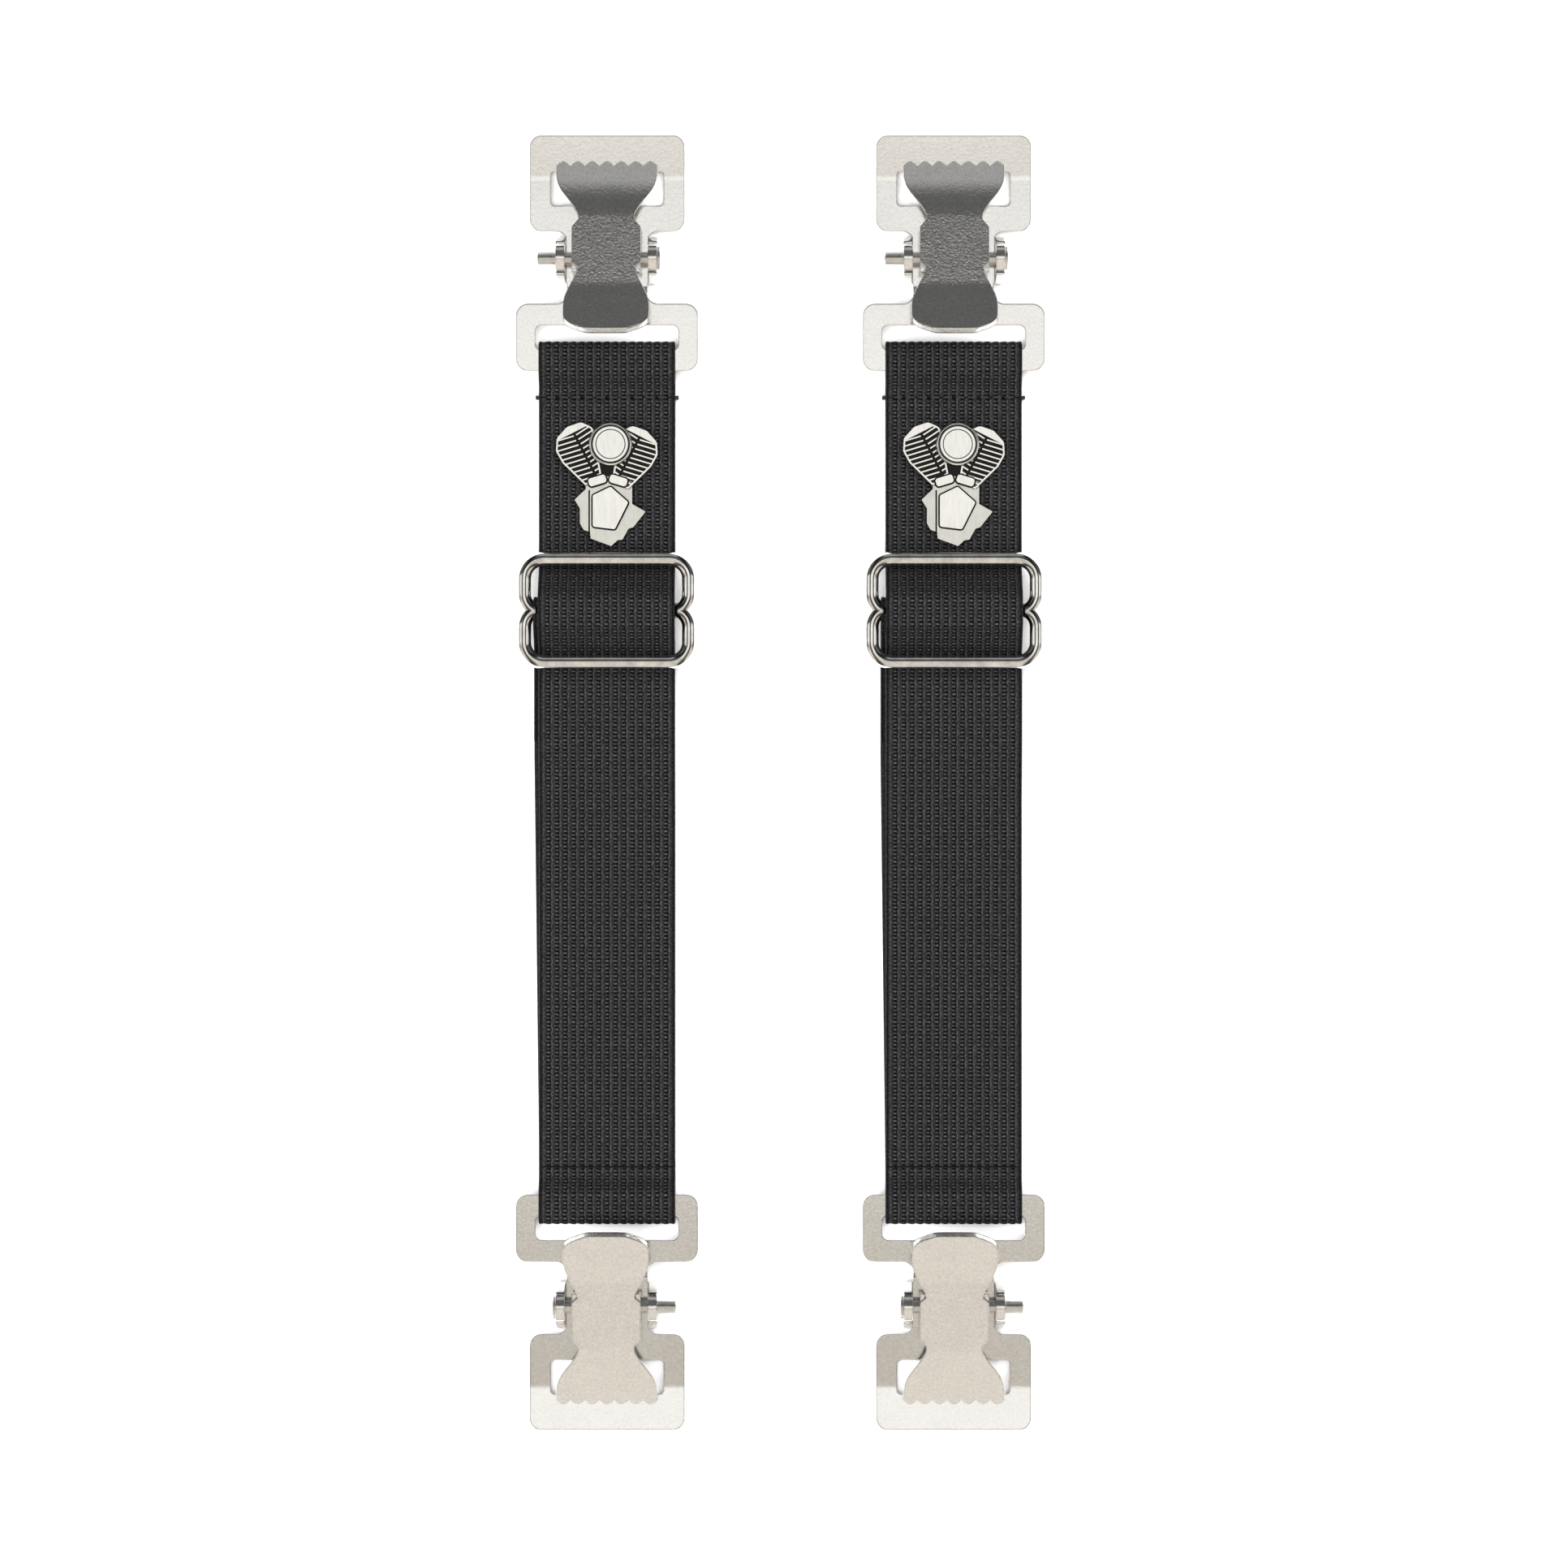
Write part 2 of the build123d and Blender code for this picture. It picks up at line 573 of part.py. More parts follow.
def badge():
    """A generic air-cooled V-twin ornament with two posts behind it."""
    cases = Polygon(*CASES, align=None)
    cover = fillet(Polygon(*COVER, align=None).vertices(), 0.4)
    left = badge_cylinder()
    model = raise_up(fillet(cases.vertices(), 0.15), CASE_TOP)
    model -= box(CASE_SEAM_X, CASE_SEAM_X + GROOVE, -9, -1, RECESS_TOP, DISC_TOP)
    model += raise_up(Polygon(*VALLEY, align=None), RECESS_TOP)
    model += left
    model += Pos(0, -CYLINDER_DROP, 0) * mirror(left, Plane.YZ)
    blocks = RectangleRounded(BLOCK_WIDTH, BLOCK_DEPTH, 0.5)
    raised = [(cover, COVER_TOP)]
    for x, turn in ((-1.75, 17), (2.15, -17)):
        raised.append((Pos(x, 0.75, 0) * Rot(0, 0, turn) * blocks, BLOCK_TOP))
    for outline, _ in raised:
        model -= Pos(0, 0, RECESS_TOP) * raise_up(offset(outline, amount=GROOVE), DISC_TOP)
    for outline, top in raised:
        model += raise_up(outline, top)
    model += badge_disc()
    model = Pos(0, BADGE_Y, BADGE_Z) * model
    for y in post_places():
        model += Pos(0, y, 0.1) * Cylinder(POST_RADIUS, BADGE_Z + 0.2, align=UPRIGHT)
    return model


def badge_clutches():
    """Two round clutches that grip the posts behind the webbing."""
    clutches = []
    for y in post_places():
        body = Cylinder(CLUTCH_RADIUS, CLUTCH_THICK) - Cylinder(POST_RADIUS, CLUTCH_THICK)
        clutches.append(Pos(0, y, 0.1 + CLUTCH_THICK / 2) * body)
    return clutches


# ---- one strap, then the pair ----
def clip(end):
    """The four pieces of a clip; the bottom one is turned end for end."""
    turn = Rot(0, 0, 0 if end == "top" else 180)
    pieces = {
        "base_plate": base_plate(),
        "lever": lever(),
        "pivot_pin": pivot_pin(),
        "torsion_spring": torsion_spring(),
    }
    return {f"{end}_{name}": turn * shape for name, shape in pieces.items()}


def strap():
    """Every piece of one strap, centred on X."""
    frame = adjuster_frame()
    front_layer, loop_layer = webbing_slide_loop()
    pieces = {
        "webbing_upper_run": webbing_upper_run(),
        "webbing_slide_loop": Compound(children=[front_layer, loop_layer]),
        "webbing_bottom_run": webbing_bottom_run(),
        "top_fold_stitching": Compound(
            children=[
                *stitching(TOP_STITCH_Y, MID + WEB_THICK / 2 + 0.02),
                *edge_nubs(TOP_STITCH_Y, MID + WEB_THICK / 2),
            ]
        ),
        "slide_loop_stitching": Compound(
            children=stitching(SLIDE_STITCH_Y, MID + WEB_THICK / 2 + 0.02)
        ),
        "badge": badge(),
        "badge_clutches": Compound(children=badge_clutches()),
        "adjuster_frame": frame,
        "adjuster_centre_bar": adjuster_centre_bar(frame),
    }
    pieces.update(clip("top"))
    pieces.update(clip("bottom"))
    return pieces


os.makedirs("parts", exist_ok=True)
one_strap = strap()
for side_name, side_x in (("left", -STRAP_SPACING / 2), ("right", STRAP_SPACING / 2)):
    for piece_name, shape in one_strap.items():
        export_step(Pos(side_x, 0, 0) * shape, f"parts/{side_name}_{piece_name}.step")
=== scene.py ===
import json
import math

import bmesh
import bpy
import numpy as np
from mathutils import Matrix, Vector


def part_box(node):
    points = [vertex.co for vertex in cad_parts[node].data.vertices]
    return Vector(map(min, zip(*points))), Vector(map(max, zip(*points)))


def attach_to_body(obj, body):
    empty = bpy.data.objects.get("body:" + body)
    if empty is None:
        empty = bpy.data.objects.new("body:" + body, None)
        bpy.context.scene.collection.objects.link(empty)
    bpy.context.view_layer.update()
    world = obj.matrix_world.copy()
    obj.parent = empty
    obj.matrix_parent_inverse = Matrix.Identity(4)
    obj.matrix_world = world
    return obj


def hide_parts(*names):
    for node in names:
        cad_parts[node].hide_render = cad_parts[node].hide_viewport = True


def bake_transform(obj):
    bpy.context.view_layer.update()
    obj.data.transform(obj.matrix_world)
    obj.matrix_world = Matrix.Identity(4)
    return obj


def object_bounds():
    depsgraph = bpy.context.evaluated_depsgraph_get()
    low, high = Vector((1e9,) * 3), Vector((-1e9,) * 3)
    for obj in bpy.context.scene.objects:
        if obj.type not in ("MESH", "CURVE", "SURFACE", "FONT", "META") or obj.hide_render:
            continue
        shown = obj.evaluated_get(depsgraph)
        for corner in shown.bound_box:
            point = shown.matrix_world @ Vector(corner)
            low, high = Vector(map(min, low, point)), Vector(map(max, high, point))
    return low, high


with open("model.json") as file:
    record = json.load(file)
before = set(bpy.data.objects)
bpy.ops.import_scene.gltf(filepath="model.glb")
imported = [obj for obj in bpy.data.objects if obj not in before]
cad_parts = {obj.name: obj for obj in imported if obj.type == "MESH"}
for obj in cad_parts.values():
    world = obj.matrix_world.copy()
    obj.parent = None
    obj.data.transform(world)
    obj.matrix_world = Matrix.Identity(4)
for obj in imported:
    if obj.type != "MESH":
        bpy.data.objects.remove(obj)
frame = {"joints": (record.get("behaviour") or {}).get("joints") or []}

# A pair of clip straps lying flat. Metres, +Z up, Y along the straps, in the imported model's own frame.

cad_low, cad_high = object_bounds()
MM = 0.001
SIDES = ("left", "right")
ENDS = ("top", "bottom")

# webbing
WEB_WIDTH = 25.4 * MM
WEB_THICK = 1.0 * MM
LAYER = 1.1 * MM  # one layer of webbing and the gap above it
LOOP_OFFSET = -0.9 * MM  # the loop on the adjuster lies a little to the left of the front layer
PATH_STEP = 0.5 * MM  # longest stretch of a route without a point
EASY_BEND = 6.0 * MM  # radius, like the next two
BEND = 2.0 * MM
SHARP_BEND = 1.2 * MM
ARC_SLACK = 0.02 * MM  # kept between the two arcs of a fold

# places along a fold, back from the outermost centre line of the webbing
LEAVES_BAR = 5.6 * MM
MEETS_LAYER = 8.2 * MM
STITCHES = 10.1 * MM
SEAM = 10.3 * MM  # where the bottom fold's section begins and ends
TOP_TAIL = 17.7 * MM

# corners of the layers passing the adjuster, along Y from its middle
HUMP_FOOT = (8.55 * MM, -7.75 * MM)
HUMP_TOP = (2.65 * MM, -2.55 * MM)
UNDER_BAR = -9.7 * MM
OVER_STITCHES = (-11.35 * MM, -13.15 * MM)
LOOP_RISE = (-5.95 * MM, -2.15 * MM)
LOOP_FALL = (-2.75 * MM, -7.35 * MM)
BAR_CLEARANCE = 0.25 * MM
LOOP_TAIL = 2.6 * MM  # from the lower end of the loop's run up to the end of its sewn tail
OVER_TAIL = (0.5 * MM, -11.5 * MM)  # where the front layer leaves the tail and is down, from its end
STITCH_LIFT = 0.45 * MM  # of the front layer over the sewn tail's stitches

# spans of the webbing near where two bodies meet
SWING_REACH = (1.8 * MM, 1.7 * MM)  # before and past a clip's swing axis
FEED_REACH = (0.9 * MM, 0.1 * MM)  # above the adjuster
STRETCH_MARGIN = 2 * MM  # inside the ends of the run below the adjuster

# weave
COLUMNS = 15
COLUMN_PITCH = 1.56 * MM
PICK_PITCH = 0.71 * MM
RINGS_PER_PICK = 4
POINTS_PER_COLUMN = 10
BACK_POINTS = 26
RUNG_RELIEF = 0.26 * MM
WARP_RELIEF = 0.09 * MM
BAND_RELIEF = 0.13 * MM
SWAY = 0.12 * MM  # sideways, over two picks
FACE = 0.36 * WEB_THICK  # from the middle of the webbing to its face, under the relief
EDGE = 0.4 * WEB_THICK  # how far the rounded edge stands out past the face
EDGE_ANGLES = (0.5, 1.05, 1.57, 2.09, 2.64)
# each ridge's crown and half width, in columns; a rung's crown is from the middle of its column,
# and a warp line's and a band's from the border between two columns
RUNG = (-0.02, 0.36)
WARP = (-0.12, 0.16)
BAND = (0.04, 0.33)
SELVEDGES = ((12.05 * MM, 0.33 * MM), (12.55 * MM, 0.2 * MM))  # crown from the middle, and half width

# badge
RECESS_DEPTH = 1.4 * MM  # of its recesses below its top
RECESS_REACH = 0.7 * MM  # how far from a wall a recess stays dark, with painted shade from occlusion
TONE_RANGE = (-0.05 * MM, 0.8 * MM)  # heights above the recesses that go from dark to bright

# clip spring, measured from the middle of its pin
SPRING_WIRE = 0.35 * MM  # radius
SPRING_RADIUS = 1.75 * MM
SPRING_LENGTH = 5.5 * MM
SPRING_TURNS = 5.5
SPRING_POINTS = 110
LOWER_LEG = (-5.0 * MM, -2.55 * MM)
UPPER_LEG = (-7.0 * MM, 2.65 * MM)

# roundness of the metal's edges
STAMPED_EDGE = 0.35 * MM
TURNED_EDGE = 0.12 * MM

# camera
SENSOR = 36  # in millimetres, as Blender counts it
VIEW_WIDTH = 291.8 * MM  # across the picture, at the height of the straps
VIEW_DISTANCE = 950 * MM
VIEW_HEIGHT = 2 * MM  # what the distance is measured from
VIEW_SHIFT = (0.68 * MM, -0.23 * MM)

# lights and floor
LIGHT_SIZE = 1.2
KEY_PLACE = (-0.5, -0.3, 0.9)
KEY_WATTS = 20
FILL_PLACE = (0.5, 0.4, 0.9)
FILL_WATTS = 18
FLOOR_DROP = 0.05 * MM  # below the straps' undersides

# the slot of each CAD piece that shows, by its name without its side and end
STRAP_PIECES = {
    "top_fold_stitching": "black_thread",
    "slide_loop_stitching": "black_thread",
    "adjuster_frame": "polished_nickel",
    "adjuster_centre_bar": "polished_nickel",
    "badge": "antique_pewter",
    "badge_clutches": "clutch_brass",
}
CLIP_PIECES = {
    "base_plate": "satin_nickel_plate",
    "lever": "satin_nickel_lever",
    "pivot_pin": "pin_steel",
}


# ---------------------------------------------------------------- node helpers
class Tree:
    """A thin wrapper that makes node trees readable."""

    maths_kind = "ShaderNodeMath"

    def __init__(self, tree):
        self.tree = tree

    def node(self, kind, **settings):
        made = self.tree.nodes.new(kind)
        for name, value in settings.items():
            setattr(made, name, value)
        return made

    def feed(self, socket, value):
        """Link an output, or set a plain value."""
        if isinstance(value, bpy.types.NodeSocket):
            self.tree.links.new(value, socket)
        else:
            socket.default_value = value

    def maths(self, operation, *values, clamp=False):
        made = self.node(self.maths_kind, operation=operation, use_clamp=clamp)
        for socket, value in zip(made.inputs, values):
            self.feed(socket, value)
        return made.outputs[0]


def new_material(name):
    """A material with an empty tree, its Principled shader and its output."""
    material = bpy.data.materials.new(name)
    material.use_nodes = True
    tree = Tree(material.node_tree)
    shader = material.node_tree.nodes["Principled BSDF"]
    return material, tree, shader


def noise(tree, scale, detail=3.0, roughness=0.6, stretch=(1, 1, 1)):
    """Noise in object space, stretched along the axes."""
    place = tree.node("ShaderNodeTexCoord")
    mapping = tree.node("ShaderNodeMapping")
    tree.feed(mapping.inputs["Vector"], place.outputs["Object"])
    mapping.inputs["Scale"].default_value = stretch
    texture = tree.node("ShaderNodeTexNoise")
    tree.feed(texture.inputs["Vector"], mapping.outputs[0])
    texture.inputs["Scale"].default_value = scale
    texture.inputs["Detail"].default_value = detail
    texture.inputs["Roughness"].default_value = roughness
    return texture.outputs["Fac"]


def ramp(tree, factor, stops):
    """A colour ramp with the given (position, colour) stops."""
    made = tree.node("ShaderNodeValToRGB")
    tree.feed(made.inputs["Fac"], factor)
    elements = made.color_ramp.elements
    for element, (position, colour) in zip(elements, stops[:2]):
        element.position = position
        element.color = (*colour, 1)
    for position, colour in stops[2:]:
        elements.new(position).color = (*colour, 1)
    return made.outputs["Color"]


def bump(tree, shader, height, distance, under=None):
    """Bump on the shader's normal, on top of the normal under it where one is given."""
    made = tree.node("ShaderNodeBump")
    made.inputs["Strength"].default_value = 1.0
    made.inputs["Distance"].default_value = distance
    tree.feed(made.inputs["Height"], height)
    if under is not None:
        tree.feed(made.inputs["Normal"], under)
    tree.feed(shader.inputs["Normal"], made.outputs["Normal"])


def rounded(tree, radius):
    """The normal as if the edges were rounded, and how near an edge each place is."""
    rounding = tree.node("ShaderNodeBevel", samples=6)
    rounding.inputs["Radius"].default_value = radius
    geometry = tree.node("ShaderNodeNewGeometry")
    lean = tree.node("ShaderNodeVectorMath", operation="DOT_PRODUCT")
    tree.feed(lean.inputs[0], rounding.outputs["Normal"])
    tree.feed(lean.inputs[1], geometry.outputs["Normal"])
    nearness = tree.maths("MULTIPLY_ADD", lean.outputs["Value"], -4.0, 4.0, clamp=True)
    return rounding.outputs["Normal"], nearness


# ---------------------------------------------------------------- materials
def satin_nickel(name, low, high, rough, grain):
    """Bead-blasted nickel plate: a fine grain, a faintly clouded tone and slightly glossier edges."""
    material, tree, shader = new_material(name)
    cloud = noise(tree, 260, detail=3)
    speckle = noise(tree, 2000, detail=3, roughness=0.7)
    mottled = tree.maths("MULTIPLY_ADD", speckle, 0.8, tree.maths("MULTIPLY", cloud, 0.2))
    tree.feed(shader.inputs["Base Color"], ramp(tree, mottled, [(0.35, low), (0.65, high)]))
    shader.inputs["Metallic"].default_value = 1.0
    edges, rubbed = rounded(tree, STAMPED_EDGE)
    roughness = tree.maths("MULTIPLY_ADD", speckle, 0.08, rough - 0.04)
    roughness = tree.maths("MULTIPLY_ADD", rubbed, -0.05, roughness, clamp=True)
    tree.feed(shader.inputs["Roughness"], roughness)
    bump(tree, shader, speckle, grain, under=edges)
    return material


def polished_nickel():
    """Plated wire: glossy, faintly clouded, with shallow drawn waves."""
    material, tree, shader = new_material("polished_nickel")
    cloud = noise(tree, 400, detail=3)
    stops = [(0.3, (0.6, 0.59, 0.57)), (0.7, (0.88, 0.87, 0.84))]
    tree.feed(shader.inputs["Base Color"], ramp(tree, cloud, stops))
    shader.inputs["Metallic"].default_value = 1.0
    tree.feed(shader.inputs["Roughness"], tree.maths("MULTIPLY_ADD", cloud, 0.1, 0.03))
    bump(tree, shader, noise(tree, 700, detail=2, stretch=(0.3, 1, 1)), 0.00001)
    return material


def pewter(z_low, z_high):
    """Antiqued casting: dark in the recesses, partly its own blackening and partly painted shade near walls
    from ambient occlusion; brushed bright on the raised faces.
    """
    material, tree, shader = new_material("antique_pewter")
    place = tree.node("ShaderNodeTexCoord")
    split = tree.node("ShaderNodeSeparateXYZ")
    tree.feed(split.inputs[0], place.outputs["Object"])
    height = tree.node("ShaderNodeMapRange")
    tree.feed(height.inputs["Value"], split.outputs["Z"])
    height.inputs["From Min"].default_value = z_low
    height.inputs["From Max"].default_value = z_high
    cloud = noise(tree, 700, detail=4)
    # ambient occlusion darkens the colour near walls: painted shade laid over the antique blackening of the
    # recesses
    painted_occlusion_shade = tree.node("ShaderNodeAmbientOcclusion", samples=8)
    painted_occlusion_shade.inputs["Distance"].default_value = RECESS_REACH
    openness = tree.maths("MULTIPLY_ADD", painted_occlusion_shade.outputs["AO"], 2.2, -0.9, clamp=True)
    mixed = tree.maths("MULTIPLY", height.outputs["Result"], openness)
    mixed = tree.maths("ADD", mixed, tree.maths("MULTIPLY_ADD", cloud, 0.2, -0.1), clamp=True)
    stops = [
        (0.1, (0.02, 0.019, 0.018)),
        (0.35, (0.25, 0.245, 0.23)),
        (0.55, (0.68, 0.67, 0.63)),
        (0.9, (0.9, 0.89, 0.85)),
    ]
    tree.feed(shader.inputs["Base Color"], ramp(tree, mixed, stops))
    shader.inputs["Metallic"].default_value = 1.0
    brushed = noise(tree, 2600, detail=3, stretch=(1, 0.12, 1))
    tree.feed(shader.inputs["Roughness"], tree.maths("MULTIPLY_ADD", brushed, 0.16, 0.1))
    bump(tree, shader, brushed, 0.000008)
    return material


def dull_metal(name, low, high, rough):
    """Drawn wire or turned metal with a little variation."""
    material, tree, shader = new_material(name)
    cloud = noise(tree, 900, detail=3)
    tree.feed(shader.inputs["Base Color"], ramp(tree, cloud, [(0.3, low), (0.7, high)]))
    shader.inputs["Metallic"].default_value = 1.0
    tree.feed(shader.inputs["Roughness"], tree.maths("MULTIPLY_ADD", cloud, 0.2, rough))
    edges, _ = rounded(tree, TURNED_EDGE)
    bump(tree, shader, noise(tree, 3000, detail=2), 0.000008, under=edges)
    return material


def webbing_material():
    """Black woven polypropylene: painted shade darkens it between the ribs and a painted highlight lightens
    the rung crowns, over a soft specular sheen on the yarn.
    """
    material, tree, shader = new_material("black_webbing")
    relief = tree.node("ShaderNodeAttribute", attribute_name="relief")
    cloud = noise(tree, 500, detail=4)
    fibres = noise(tree, 2600, detail=3, roughness=0.7)
    flecks = tree.maths("MULTIPLY_ADD", fibres, 1.1, -0.55)
    height = tree.maths("ADD", relief.outputs["Fac"], flecks, clamp=True)
    # the colour follows the relief: painted shade in the pits between the ribs, a painted highlight on the
    # rung crowns; the flecks are the fibres' own tone
    stops = [
        (0.0, (0.001, 0.001, 0.0012)),
        (0.25, (0.006, 0.006, 0.0065)),
        (0.5, (0.014, 0.014, 0.015)),
        (1.0, (0.068, 0.068, 0.072)),
    ]
    tree.feed(shader.inputs["Base Color"], ramp(tree, height, stops))
    tree.feed(shader.inputs["Roughness"], tree.maths("MULTIPLY_ADD", cloud, 0.2, 0.42))
    tree.feed(shader.inputs["Specular IOR Level"], tree.maths("MULTIPLY_ADD", height, 0.34, 0.0))
    filaments = noise(tree, 5200, detail=2, stretch=(1, 0.35, 1))
    bump(tree, shader, filaments, 0.00006)
    return material


def thread_material():
    """Black bonded thread with a twisted look."""
    material, tree, shader = new_material("black_thread")
    twist = noise(tree, 4200, detail=2, stretch=(0.6, 1, 1))
    stops = [(0.3, (0.006, 0.006, 0.008)), (0.75, (0.03, 0.03, 0.034))]
    tree.feed(shader.inputs["Base Color"], ramp(tree, twist, stops))
    shader.inputs["Roughness"].default_value = 0.5
    bump(tree, shader, twist, 0.00008)
    return material


def floor_material():
    """A plain pale surface with the faintest mottling."""
    material, tree, shader = new_material("pale_floor")
    cloud = noise(tree, 6, detail=2)
    stops = [(0.2, (0.93, 0.93, 0.93)), (0.8, (0.95, 0.95, 0.95))]
    tree.feed(shader.inputs["Base Color"], ramp(tree, cloud, stops))
    shader.inputs["Roughness"].default_value = 0.9
    shader.inputs["Specular IOR Level"].default_value = 0.1
    return material


# ---------------------------------------------------------------- webbing
def rounded_route(corners):
    """Points along a route of (y, z, radius) corners, with an arc at each inner corner."""
    flat = [np.array(c[:2], float) for c in corners]
    points = [flat[0]]
    for before, corner, after, (_, _, radius) in zip(flat, flat[1:], flat[2:], corners[1:-1]):
        into = (corner - before) / np.linalg.norm(corner - before)
        out = (after - corner) / np.linalg.norm(after - corner)
        turn = math.acos(max(-1.0, min(1.0, float(into @ out))))
        if turn < 1e-4:
            continue
        reach = radius * math.tan(turn / 2)
        start = corner - into * reach
        side = into[0] * out[1] - into[1] * out[0]
        normal = np.array((-into[1], into[0])) * math.copysign(1, side)
        centre = start + normal * radius
        arm = start - centre
        steps = max(2, int(math.degrees(turn) / 9))
        for index in range(steps + 1):
            angle = math.copysign(turn * index / steps, side)
            turned = np.array((
                arm[0] * math.cos(angle) - arm[1] * math.sin(angle),
                arm[0] * math.sin(angle) + arm[1] * math.cos(angle),
            ))
            points.append(centre + turned)
    points.append(flat[-1])
    return np.array(points)


def subdivided(points, step):
    """The same line with no stretch longer than step."""
    result = [points[0]]
    for start, end in zip(points, points[1:]):
        length = float(np.linalg.norm(end - start))
        if length < 1e-7:
            continue
        count = max(1, math.ceil(length / step))
        result += [start + (end - start) * index / count for index in range(1, count + 1)]
    return np.array(result)


def line_object(name, places, closed=False):
    """A mesh of one line of edges through the places."""
    count = len(places)
    edge_count = count if closed else count - 1
    mesh = bpy.data.meshes.new(name)
    mesh.from_pydata(places, [(i, (i + 1) % count) for i in range(edge_count)], [])
    made = bpy.data.objects.new(name, mesh)
    bpy.context.scene.collection.objects.link(made)
    return made


def attach(piece, group, values):
    """Run a node group on a piece, with the group's inputs set by their names."""
    modifier = piece.modifiers.new(group.name, "NODES")
    modifier.node_group = group
    inputs = {item.name: item.identifier for item in group.interface.items_tree if item.in_out == "INPUT"}
    for name, value in values.items():
        modifier[inputs[name]] = value


def joint_place(name):
    """A point on a joint's axis."""
    return next(joint["pos_m"] for joint in frame["joints"] if joint["name"] == name)


def ridge(place, crown, half_width):
    """A smooth ridge of height 1 at its crown that reaches 0 half its width away."""
    distance = place - crown
    return np.where(np.abs(distance) < half_width, 0.5 + 0.5 * np.cos(np.pi * distance / half_width), 0.0)


def section_object(name, both_faces):
    """The webbing's cross-section as a closed line, with how each point takes part in the weave."""
    half = WEB_WIDTH / 2 - EDGE
    fine = COLUMNS * POINTS_PER_COLUMN
    outer = [(x, FACE, 1.0) for x in np.linspace(-half, half, fine)]
    count = fine if both_faces else BACK_POINTS
    weight = 1.0 if both_faces else 0.0
    inner = [(x, -FACE, weight) for x in np.linspace(half, -half, count)]
    right = [(half + EDGE * math.sin(angle), FACE * math.cos(angle), 0.0) for angle in EDGE_ANGLES]
    left = [(-x, -y, 0.0) for x, y, _ in right]
    ring = np.array(outer + right + inner + left)
    u, side = ring[:, 0], ring[:, 2]
    column = u / COLUMN_PITCH + COLUMNS / 2
    woven = np.abs(u) < COLUMNS * COLUMN_PITCH / 2
    from_centre = column - np.floor(column) - 0.5
    from_border = column - np.round(column)
    near = (np.abs(u) < (COLUMNS / 2 + 0.1) * COLUMN_PITCH) * side
    # rungs and bands are cut flat on top
    rung = np.minimum(1.0, 1.5 * ridge(from_centre, *RUNG)) * woven * side
    warp = ridge(from_border, *WARP) * near
    band = np.minimum(1.0, 2.0 * ridge(from_border, *BAND)) * near
    selvedge = sum(ridge(np.abs(u), *place) for place in SELVEDGES)
    band = np.maximum(band, selvedge * side)
    made = line_object(name, [(x, y, 0) for x, y, _ in ring], closed=True)
    for label, values in (
        ("rung", rung),
        ("warp", warp),
        ("band", band),
        ("back", (side == 0) * 1.0),
    ):
        attribute = made.data.attributes.new(label, "FLOAT", "POINT")
        attribute.data.foreach_set("value", values.astype(np.float32))
    made.hide_render = True
    made.hide_viewport = True
    return made


